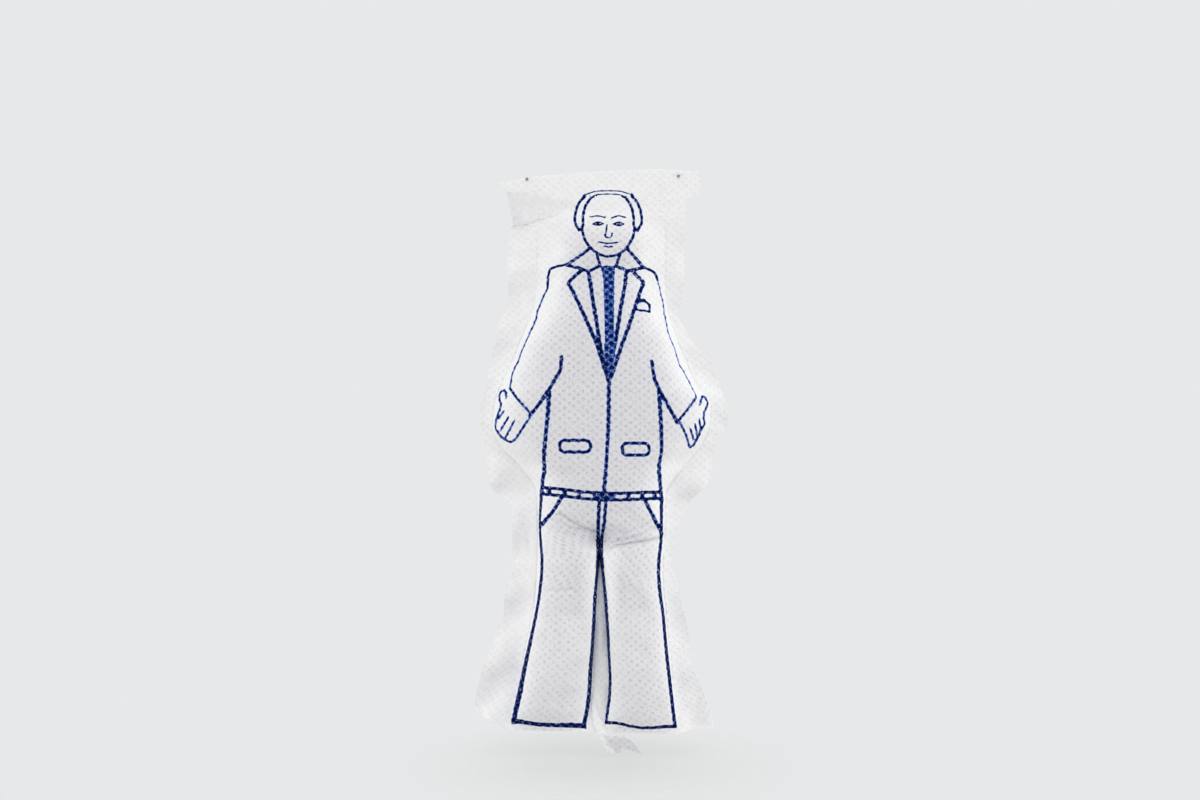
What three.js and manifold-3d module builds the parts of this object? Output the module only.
// Stuffed cloth doll. Two sheets of white point-bonded cloth are sewn together round the outline of a
// man and filled with soft fibre, and a loose raw margin is left outside the seam. The doll hangs by a
// flat hem with two pins in it.
// Millimetres, +Z up, printed side towards -Y. The origin is the middle of the hem's back face.
import * as THREE from 'three';
import { mergeVertices } from 'three/addons/utils/BufferGeometryUtils.js';
import Module from 'manifold-3d';

const wasm = await Module();
wasm.setup();

// Cloth, seam and filling
const CLOTH = 0.4;
const SEAM_GAP = 0.5;
const FILL_GAP = 0.7;
const FILL_EDGE = 0.6;
const THREAD = 0.5;
const THREAD_CLEARANCE = 0.5;
const FOLD_GAP = 0.3;

// Lengths down the figure
const HEM_HEIGHT = 9.8;
const HEM_TO_HEAD = 4.9;
const HEAD_LENGTH = 18.7;
const SHOULDER_LENGTH = 8.3;
const ARM_LENGTH = 75.6;
const HIP_LENGTH = 15.5;
const LEG_LENGTH = 67;
const FOOT_MARGIN = 2.5;
const TAIL_DROP = 8;
const TAIL_SWAY = 7;

// Widths from seam to seam
const HEM_WIDTH = 72.5;
const HEM_TAPER = 18;
const HEM_END_HEIGHT = 4;
const HEAD_WIDTH = 47;
const SLEEVE_WIDTH = 60;
const CUFF_WIDTH = 71;
const HAND_WIDTH = 78;
const FINGER_WIDTH = 71;
const FLANK_WIDTH = 57;
const HIP_WIDTH = 43.6;
const FOOT_WIDTH = 26;
const CROTCH_MARGIN = 0.7;

// Where those widths are, as a share of the arm's or the leg's length
const SLEEVE_AT = 0.31;
const CUFF_AT = 0.5;
const HAND_AT = 0.667;
const FINGER_AT = 0.77;
const FLANK_AT = 0.88;
const KNEE_AT = 0.5;

// Inner seam of each foot. They are not at the same distance from the middle: the doll hangs askew
const FOOT_INNER = { right: -6.2, left: 1.3 };
const LEG_FLARE = 1.6;

// Width of the loose margin outside the seam, on the doll's own right and left
const HEAD_MARGIN = { right: 9.6, left: 6.2 };
const SLEEVE_MARGIN = { right: 8.4, left: 7 };
const HAND_MARGIN = { right: 5, left: 6.2 };
const FLANK_MARGIN = { right: 12.4, left: 9.6 };
const HIP_MARGIN = { right: 10.2, left: 5 };
const FOOT_SIDE_MARGIN = { right: 13.4, left: 14 };

// Swell of one face, from the seam's plane out to the cloth
const HEAD_SWELL = 7;
const CHEST_SWELL = 15.5;
const BELLY_SWELL = 16;
const HIP_SWELL = 13;
const KNEE_SWELL = 11;
const ANKLE_SWELL = 9.5;
const TOP_ROUND = 28;
const FOOT_ROUND = 28;
const CROTCH_VALLEY = 0.4;
const CROTCH_VALLEY_WIDTH = 6;
const FOLD_PINCH = 0.1;
const FOLD_PINCH_LENGTH = 7;
const FULLNESS = 2.3;
const SOFT_EDGE = 0.75;

// Waves of the loose margin
const RUFFLE_HEIGHT = 2.2;
const RUFFLE_LENGTH = 23;

// Motion, in degrees from rest
const NECK_FORWARD = 30;
const NECK_BACK = 15;
const HIP_FORWARD = 60;
const HIP_BACK = 15;
const ARM_SWING = 24;

// Pins in the hem
const PIN_HEAD_RADIUS = 0.65;
const PIN_HEAD_HEIGHT = 0.6;
const PIN_RIM_HEIGHT = 0.2;
const PIN_SHANK_RADIUS = 0.35;
const PIN_LENGTH = 5;
const PIN_CLEARANCE = 0.3;
const PIN_FROM_END = { right: 9.2, left: 8.6 };
const PIN_RAISE = { right: 1.8, left: 2.9 };

// Steps of the solids
const ROW_STEP = 6;
const ROUND_STEPS = 3;
const BODY_COLUMNS = 4;
const LEG_COLUMNS = 3;
const PIN_SIDES = 8;

// Levels, from the middle of the hem down
const HEM_THICKNESS = 2 * CLOTH + SEAM_GAP;
const THREAD_INSET = CLOTH + THREAD / 2 + THREAD_CLEARANCE;
const FILL_INSET = THREAD_INSET + THREAD / 2 + 2 * THREAD_CLEARANCE;
const SEAM_Y = -HEM_THICKNESS / 2;
const HEM_LOW = -HEM_HEIGHT / 2;
const PANEL_TOP = HEM_LOW - FOLD_GAP;
const TOP_SEAM = HEM_LOW - HEM_TO_HEAD;
const NECK = TOP_SEAM - HEAD_LENGTH;
const ARM_TOP = NECK - SHOULDER_LENGTH;
const ARM_END = ARM_TOP - ARM_LENGTH;
const HIP = ARM_END - HIP_LENGTH;
const FOOT = HIP - LEG_LENGTH;
const downArm = (share) => ARM_TOP - ARM_LENGTH * share;
const downLeg = (share) => HIP - LEG_LENGTH * share;
const ARM_FOLD = HIP_WIDTH / 2 - THREAD;
const REACH = HAND_WIDTH + FOOT_WIDTH + HEM_WIDTH;

const cloth = new THREE.MeshStandardMaterial({ color: 0xf1f2f5, roughness: 0.9, metalness: 0 });
const fibre = new THREE.MeshStandardMaterial({ color: 0xfafaf7, roughness: 1, metalness: 0 });
const thread = new THREE.MeshStandardMaterial({ color: 0xf5f5f3, roughness: 0.8, metalness: 0 });
const steel = new THREE.MeshStandardMaterial({ color: 0x3a3b40, roughness: 0.4, metalness: 0.8 });

const SIDES = ['right', 'left'];
const sign = { right: -1, left: 1 };
const radians = THREE.MathUtils.degToRad;
const { lerp, smoothstep } = THREE.MathUtils;

// A smooth curve through [level, value] stations that run from the top down
function curveThrough(stations) {
  const rising = stations.slice().reverse();
  const heights = rising.map(([level]) => level);
  const values = rising.map(([, value]) => value);
  const curve = new THREE.CubicInterpolant(heights, values, 1);
  return (level) => curve.evaluate(level)[0];
}

// 0 at a soft end, where the filling thins out, and 1 once the given length of thinning is past
function softEnd(distance, length) {
  return 1 - (1 - THREE.MathUtils.clamp(distance / length, 0, 1)) ** 2;
}

const bodyWidth = curveThrough([
  [TOP_SEAM, HEAD_WIDTH],
  [ARM_TOP, HEAD_WIDTH],
  [downArm(SLEEVE_AT), SLEEVE_WIDTH],
  [downArm(CUFF_AT), CUFF_WIDTH],
  [downArm(HAND_AT), HAND_WIDTH],
  [downArm(FINGER_AT), FINGER_WIDTH],
  [downArm(FLANK_AT), FLANK_WIDTH],
  [ARM_END, HIP_WIDTH],
  [HIP, HIP_WIDTH],
]);
const bodySwell = curveThrough([
  [TOP_SEAM, HEAD_SWELL],
  [NECK, HEAD_SWELL],
  [downArm(SLEEVE_AT), CHEST_SWELL],
  [downArm(HAND_AT), BELLY_SWELL],
  [HIP, HIP_SWELL],
]);
const legSwell = curveThrough([
  [HIP, HIP_SWELL],
  [downLeg(KNEE_AT), KNEE_SWELL],
  [FOOT, ANKLE_SWELL],
]);
const bodyMargin = {};
for (const side of SIDES) {
  bodyMargin[side] = curveThrough([
    [PANEL_TOP, HEAD_MARGIN[side]],
    [ARM_TOP, HEAD_MARGIN[side]],
    [downArm(SLEEVE_AT), SLEEVE_MARGIN[side]],
    [downArm(HAND_AT), HAND_MARGIN[side]],
    [downArm(FLANK_AT), FLANK_MARGIN[side]],
    [HIP, HIP_MARGIN[side]],
  ]);
}

// Across the figure, a place runs from -1 to 1 between the seams, and on to -2 and 2 at the raw edges
function places(columns) {
  const dome = [];
  for (let i = -columns; i <= columns; i += 1) dome.push(Math.sin((Math.PI / 2) * (i / columns)));
  return { dome, sheet: [-2, ...dome, 2] };
}

// Levels from one height to another, no further apart than a row step
function levels(from, to) {
  const count = Math.max(1, Math.ceil(Math.abs(to - from) / ROW_STEP));
  return Array.from({ length: count + 1 }, (_, i) => lerp(from, to, i / count));
}

// Levels that close up towards a soft end
function roundLevels(end, length) {
  const turn = (i) => 1 - Math.cos((Math.PI / 2) * (i / ROUND_STEPS));
  return Array.from({ length: ROUND_STEPS + 1 }, (_, i) => end + length * turn(i));
}

const profile = (place, soft) => (1 - Math.abs(place) ** FULLNESS) ** (1 / FULLNESS + soft);
const pinch = (level, fold) => 1 - FOLD_PINCH * Math.exp(-(((level - fold) / FOLD_PINCH_LENGTH) ** 2));

function ruffle(place, level, phase) {
  const out = Math.max(0, Math.abs(place) - 1);
  const hold = smoothstep(PANEL_TOP - level, 0, HEAD_LENGTH);
  return RUFFLE_HEIGHT * out * hold * Math.sin((2 * Math.PI * level) / RUFFLE_LENGTH + phase);
}

// The head, torso and arms: one bell-shaped pocket
const body = {
  columns: places(BODY_COLUMNS),
  at(place, level, inset, swellLoss) {
    const half = bodyWidth(level) / 2 - inset;
    const side = place < 0 ? 'right' : 'left';
    const out = Math.max(0, Math.abs(place) - 1);
    const x = Math.sign(place) * (half * Math.min(1, Math.abs(place)) + bodyMargin[side](level) * out);
    const valley = CROTCH_VALLEY * (1 - smoothstep(level, HIP, ARM_END));
    const dip = 1 - valley * Math.exp(-((x / CROTCH_VALLEY_WIDTH) ** 2));
    const soft = SOFT_EDGE * smoothstep(level, downArm(SLEEVE_AT), NECK);
    const top = softEnd(TOP_SEAM - inset - level, TOP_ROUND);
    const swell = bodySwell(level) * pinch(level, HIP) - swellLoss;
    const rise = out > 0 ? 0 : swell * profile(place, soft) * dip * top;
    return { x, z: level, rise, wave: ruffle(place, level, sign[side]) };
  },
};

// One leg: a tube whose outer seam flares towards the foot. Place -1 is the seam on the doll's right
function leg(side) {
  const out = sign[side];
  const footInner = FOOT_INNER[side];
  const middle = (FOOT_INNER.right + FOOT_INNER.left) / 2;
  const flare = (level) => THREE.MathUtils.clamp((HIP - level) / LEG_LENGTH, 0, 1) ** LEG_FLARE;
  return {
    columns: places(LEG_COLUMNS),
    at(place, level, inset, swellLoss) {
      const down = flare(level);
      const outer = lerp((out * HIP_WIDTH) / 2, footInner + out * FOOT_WIDTH, down);
      const inner = lerp(out * (CROTCH_MARGIN + FOLD_GAP), footInner, down);
      const half = Math.abs(outer - inner) / 2 - inset;
      const beyond = Math.max(0, Math.abs(place) - 1);
      const isOuter = place * out > 0;
      const sideMargin = lerp(HIP_MARGIN[side], FOOT_SIDE_MARGIN[side], down);
      const slit = out * (inner - lerp(0, middle, down)) - FOLD_GAP;
      const margin = isOuter ? sideMargin : slit;
      const below = THREE.MathUtils.clamp((FOOT - level) / FOOT_MARGIN, 0, 1);
      const tail = side === 'left' && place <= -1 ? (below * (1 + beyond)) / 2 : 0;
      const reach = half * Math.min(1, Math.abs(place)) + margin * beyond;
      const x = (outer + inner) / 2 + Math.sign(place) * reach + tail * TAIL_SWAY;
      const swell = legSwell(level) * pinch(level, HIP) - swellLoss;
      const end = softEnd(level - FOOT - inset, FOOT_ROUND);
      const rise = beyond > 0 ? 0 : swell * profile(place, 0) * end;
      const wave = isOuter ? ruffle(place, level, out) : 0;
      return { x, z: level - tail * TAIL_DROP, rise, wave };
    },
  };
}

// Rows of points of one face. face is -1 for the front and 1 for the back
function grid(shape, rows, across, face, offset, inset = 0, swellLoss = 0) {
  return rows.map((level) =>
    across.map((place) => {
      const { x, z, rise, wave } = shape.at(place, level, inset, swellLoss);
      return new THREE.Vector3(x, SEAM_Y + face * (offset + rise) + wave, z);
    }),
  );
}

// The grid moved inwards, square to itself
function offsetGrid(points, face, distance) {
  const lastRow = points.length - 1;
  const lastColumn = points[0].length - 1;
  const along = new THREE.Vector3();
  const across = new THREE.Vector3();
  return points.map((row, i) =>
    row.map((point, j) => {
      along.subVectors(points[Math.min(i + 1, lastRow)][j], points[Math.max(i - 1, 0)][j]);
      across.subVectors(row[Math.min(j + 1, lastColumn)], row[Math.max(j - 1, 0)]);
      const outward = across.clone().cross(along).normalize();
      if (outward.y * face < 0) outward.negate();
      return point.clone().addScaledVector(outward, -distance);
    }),
  );
}

// A closed solid between two grids of the same layout
function between(first, second) {
  const rows = first.length;
  const columns = first[0].length;
  const positions = [...first.flat(), ...second.flat()].flatMap((p) => [p.x, p.y, p.z]);
  const behind = rows * columns;
  const triangles = [];
  const quad = (a, b, c, d) => triangles.push(a, b, c, a, c, d);
  const index = (i, j) => i * columns + j;
  for (let i = 0; i + 1 < rows; i += 1) {
    for (let j = 0; j + 1 < columns; j += 1) {
      const [a, b, c, d] = [index(i, j), index(i, j + 1), index(i + 1, j + 1), index(i + 1, j)];
      quad(a, b, c, d);
      quad(a + behind, d + behind, c + behind, b + behind);
    }
  }
  const rim = [];
  for (let j = 0; j + 1 < columns; j += 1) rim.push(index(0, j));
  for (let i = 0; i + 1 < rows; i += 1) rim.push(index(i, columns - 1));
  for (let j = columns - 1; j > 0; j -= 1) rim.push(index(rows - 1, j));
  for (let i = rows - 1; i > 0; i -= 1) rim.push(index(i, 0));
  rim.forEach((a, k) => {
    const b = rim[(k + 1) % rim.length];
    quad(a, a + behind, b + behind, b);
  });
  return solidOf(positions, triangles);
}

// A solid from points and triangles, turned so that its faces point out
function solidOf(positions, triangles) {
  const corner = (i) => new THREE.Vector3().fromArray(positions, 3 * triangles[i]);
  let volume = 0;
  for (let i = 0; i < triangles.length; i += 3) {
    volume += corner(i).dot(corner(i + 1).cross(corner(i + 2)));
  }
  const facing = volume < 0 ? triangles.slice().reverse() : triangles;
  const vertProperties = new Float32Array(positions);
  const triVerts = new Uint32Array(facing);
  return new wasm.Manifold(new wasm.Mesh({ numProp: 3, vertProperties, triVerts }));
}

function solidFrom(geometry) {
  geometry.deleteAttribute('normal');
  geometry.deleteAttribute('uv');
  const merged = mergeVertices(geometry);
  return solidOf(Array.from(merged.attributes.position.array), Array.from(merged.index.array));
}

function geometryOf(solid) {
  const { vertProperties, triVerts } = solid.getMesh();
  const geometry = new THREE.BufferGeometry();
  geometry.setAttribute('position', new THREE.BufferAttribute(vertProperties, 3));
  geometry.setIndex(new THREE.BufferAttribute(triVerts, 1));
  geometry.computeVertexNormals();
  return geometry;
}

// A flat outline pushed out along its normal, turned by three axes
function prism(outline, depth, axes, shift) {
  const shape = new THREE.Shape(outline.map(([u, v]) => new THREE.Vector2(u, v)));
  const geometry = new THREE.ExtrudeGeometry(shape, { depth, bevelEnabled: false });
  geometry.applyMatrix4(new THREE.Matrix4().makeBasis(...axes).setPosition(...shift));
  return solidFrom(geometry);
}

const X = new THREE.Vector3(1, 0, 0);
const Y = new THREE.Vector3(0, 1, 0);
const Z = new THREE.Vector3(0, 0, 1);

// All space on one side of a fold across the figure, clear of the bend. way is 1 above and -1 below
function besideFold(fold, forward, back, way) {
  const near = fold + way * FOLD_GAP;
  const front = near + way * REACH * Math.tan(radians(forward / 2));
  const rear = near + way * REACH * Math.tan(radians(back / 2));
  const far = near + way * REACH * 2;
  const outline = [
    [SEAM_Y, near],
    [SEAM_Y - REACH, front],
    [SEAM_Y - REACH, far],
    [SEAM_Y + REACH, far],
    [SEAM_Y + REACH, rear],
  ];
  return prism(outline, 2 * REACH, [Y, Z, X], [-REACH, 0, 0]);
}

// The space outside an arm's fold. way is 1 for what the arm keeps and -1 for what the torso loses
function besideArm(side, way) {
  const out = sign[side];
  const near = ARM_FOLD + way * FOLD_GAP;
  const lean = way * REACH * Math.tan(radians(ARM_SWING / 2));
  const far = Math.max(near, near + lean) + REACH;
  const outline = [
    [out * near, SEAM_Y],
    [out * (near + lean), SEAM_Y - REACH],
    [out * far, SEAM_Y - REACH],
    [out * far, SEAM_Y + REACH],
    [out * (near + lean), SEAM_Y + REACH],
  ];
  const slit = way > 0 ? FOLD_GAP : 0;
  return prism(outline, ARM_LENGTH - 2 * slit, [X, Y, Z], [0, 0, ARM_END + slit]);
}

// A strand of thread along a flat path of [x, z] points in the seam's plane
function strand(path) {
  const sides = [];
  path.forEach(([x, z], i) => {
    const before = path[Math.max(i - 1, 0)];
    const after = path[Math.min(i + 1, path.length - 1)];
    const along = new THREE.Vector2(after[0] - before[0], after[1] - before[1]).normalize();
    const across = new THREE.Vector2(-along.y, along.x).multiplyScalar(THREAD / 2);
    sides.push([-1, 1].map((k) => [x + k * across.x, z + k * across.y]));
  });
  const face = (y) => sides.map((pair) => pair.map(([x, z]) => new THREE.Vector3(x, y, z)));
  return between(face(SEAM_Y - THREAD / 2), face(SEAM_Y + THREAD / 2));
}

// Sheets, filling and thread of one pocket, before they are cut at the folds
function pocket(shape, sheetRows, fillRows) {
  const offset = SEAM_GAP / 2 + CLOTH;
  const sheet = (face) => {
    const outside = grid(shape, sheetRows, shape.columns.sheet, face, offset);
    return between(outside, offsetGrid(outside, face, CLOTH));
  };
  const fill = (face) =>
    grid(shape, fillRows, shape.columns.dome, face, FILL_EDGE / 2, FILL_INSET, CLOTH + FILL_GAP);
  return { front_panel: sheet(-1), back_panel: sheet(1), stuffing: between(fill(-1), fill(1)) };
}

const doll = new THREE.Group();
const finish = { front_panel: cloth, back_panel: cloth, stuffing: fibre, seam_thread: thread };

function add(group, name, geometry, material) {
  const mesh = new THREE.Mesh(geometry, material);
  mesh.name = name;
  group.add(mesh);
  return mesh;
}

// One section of the doll: every piece of its pocket, cut to the section
function addSection(name, pieces, cut) {
  const group = new THREE.Group();
  doll.add(group);
  for (const [piece, solid] of Object.entries(pieces)) {
    add(group, `${name}_${piece}`, geometryOf(cut(solid)), finish[piece]);
  }
  return group;
}

const bodyEnd = HIP - ROW_STEP;
const bodyRows = levels(TOP_SEAM - TOP_ROUND, bodyEnd).slice(1);
const bodySheetRows = [
  ...levels(PANEL_TOP, TOP_SEAM).slice(0, -1),
  ...roundLevels(TOP_SEAM, -TOP_ROUND),
  ...bodyRows,
];
const bodyFillTop = roundLevels(TOP_SEAM - FILL_INSET, -TOP_ROUND);
const bodyFillRows = [...bodyFillTop, ...bodyRows.filter((level) => level < bodyFillTop.at(-1))];
const bodyPieces = pocket(body, bodySheetRows, bodyFillRows);
const alongSeam = (side, rows) =>
  rows.map((level) => [sign[side] * (bodyWidth(level) / 2 - THREAD_INSET), level]);

const aboveNeck = besideFold(NECK, NECK_FORWARD, NECK_BACK, 1);
const belowNeck = besideFold(NECK, NECK_FORWARD, NECK_BACK, -1);
const aboveHip = besideFold(HIP, HIP_FORWARD, HIP_BACK, 1);
const belowHip = besideFold(HIP, HIP_FORWARD, HIP_BACK, -1);

// Head, with its thread up one side, across the top and down the other
const headSide = levels(NECK + FOLD_GAP, TOP_SEAM - THREAD_INSET);
const headThread = strand([...alongSeam('right', headSide), ...alongSeam('left', headSide.slice().reverse())]);
const head = addSection('head', { ...bodyPieces, seam_thread: headThread }, (solid) =>
  solid.intersect(aboveNeck),
);

// Torso between the folds, and its short threads at the shoulders and hips
const torso = addSection('torso', bodyPieces, (solid) => {
  const trunk = solid.intersect(belowNeck).intersect(aboveHip);
  return trunk.subtract(besideArm('right', -1)).subtract(besideArm('left', -1));
});
for (const side of SIDES) {
  const shoulder = strand(alongSeam(side, levels(NECK - FOLD_GAP, ARM_TOP + FOLD_GAP)));
  add(torso, `${side}_shoulder_seam_thread`, geometryOf(shoulder), thread);
  const hip = strand(alongSeam(side, levels(ARM_END - FOLD_GAP, HIP + FOLD_GAP)));
  add(torso, `${side}_hip_seam_thread`, geometryOf(hip), thread);
}

for (const side of SIDES) {
  const armThread = strand(alongSeam(side, levels(ARM_TOP - FOLD_GAP, ARM_END + FOLD_GAP)));
  const arm = besideArm(side, 1);
  addSection(`${side}_arm`, { ...bodyPieces, seam_thread: armThread }, (solid) => solid.intersect(arm));
}

// Legs, each with its thread down one seam, under the foot and up the other
for (const side of SIDES) {
  const shape = leg(side);
  const legTop = HIP + ROW_STEP;
  const legRows = levels(legTop, FOOT + FOOT_ROUND).slice(0, -1);
  const sheetRows = [
    ...legRows,
    ...roundLevels(FOOT, FOOT_ROUND).reverse(),
    ...levels(FOOT, FOOT - FOOT_MARGIN).slice(1),
  ];
  const fillEnd = roundLevels(FOOT + FILL_INSET, FOOT_ROUND).reverse();
  const fillRows = [...legRows.filter((level) => level > fillEnd[0]), ...fillEnd];
  const seamPoint = (place, level) => {
    const { x, z } = shape.at(place, level, THREAD_INSET, 0);
    return [x, z];
  };
  const down = levels(HIP - FOLD_GAP, FOOT + THREAD_INSET);
  const path = [
    ...down.map((level) => seamPoint(-1, level)),
    ...down.slice().reverse().map((level) => seamPoint(1, level)),
  ];
  const pieces = { ...pocket(shape, sheetRows, fillRows), seam_thread: strand(path) };
  addSection(`${side}_leg`, pieces, (solid) => solid.intersect(belowHip));
}

// Hem: the flat top strip, with a hole for each pin
const hemOutline = new THREE.Shape();
const hemHalf = HEM_WIDTH / 2;
hemOutline.moveTo(HEM_TAPER / 2 - hemHalf, HEM_LOW);
hemOutline.lineTo(hemHalf, HEM_LOW);
hemOutline.lineTo(hemHalf, -HEM_LOW);
hemOutline.lineTo(HEM_TAPER - hemHalf, -HEM_LOW);
hemOutline.lineTo(-hemHalf, HEM_END_HEIGHT / 2);
hemOutline.lineTo(-hemHalf, -HEM_END_HEIGHT / 2);
hemOutline.closePath();
const pinX = (side) => sign[side] * (hemHalf - PIN_FROM_END[side]);
for (const side of SIDES) {
  const hole = new THREE.Path();
  hole.absarc(pinX(side), PIN_RAISE[side], PIN_SHANK_RADIUS + PIN_CLEARANCE, 0, 2 * Math.PI, true);
  hemOutline.holes.push(hole);
}
const hem = new THREE.ExtrudeGeometry(hemOutline, {
  depth: HEM_THICKNESS,
  bevelEnabled: false,
  curveSegments: PIN_SIDES,
});
hem.applyMatrix4(new THREE.Matrix4().makeBasis(X, Z, Y.clone().negate()));
add(head, 'top_hem', hem, cloth);

// Pins through the hem, their heads in front
const domeHeight = PIN_HEAD_HEIGHT - PIN_RIM_HEIGHT;
const pinProfile = [
  [0, -PIN_HEAD_HEIGHT],
  [PIN_HEAD_RADIUS * Math.SQRT1_2, -PIN_RIM_HEIGHT - domeHeight * Math.SQRT1_2],
  [PIN_HEAD_RADIUS, -PIN_RIM_HEIGHT],
  [PIN_HEAD_RADIUS, 0],
  [PIN_SHANK_RADIUS, 0],
  [PIN_SHANK_RADIUS, PIN_LENGTH - 2 * PIN_SHANK_RADIUS],
  [0, PIN_LENGTH],
].map(([radius, along]) => new THREE.Vector2(radius, along));
for (const side of SIDES) {
  const pin = add(head, `hem_pin_${side}`, new THREE.LatheGeometry(pinProfile, PIN_SIDES), steel);
  pin.position.set(pinX(side), -HEM_THICKNESS - PIN_CLEARANCE, PIN_RAISE[side]);
}

export default doll;
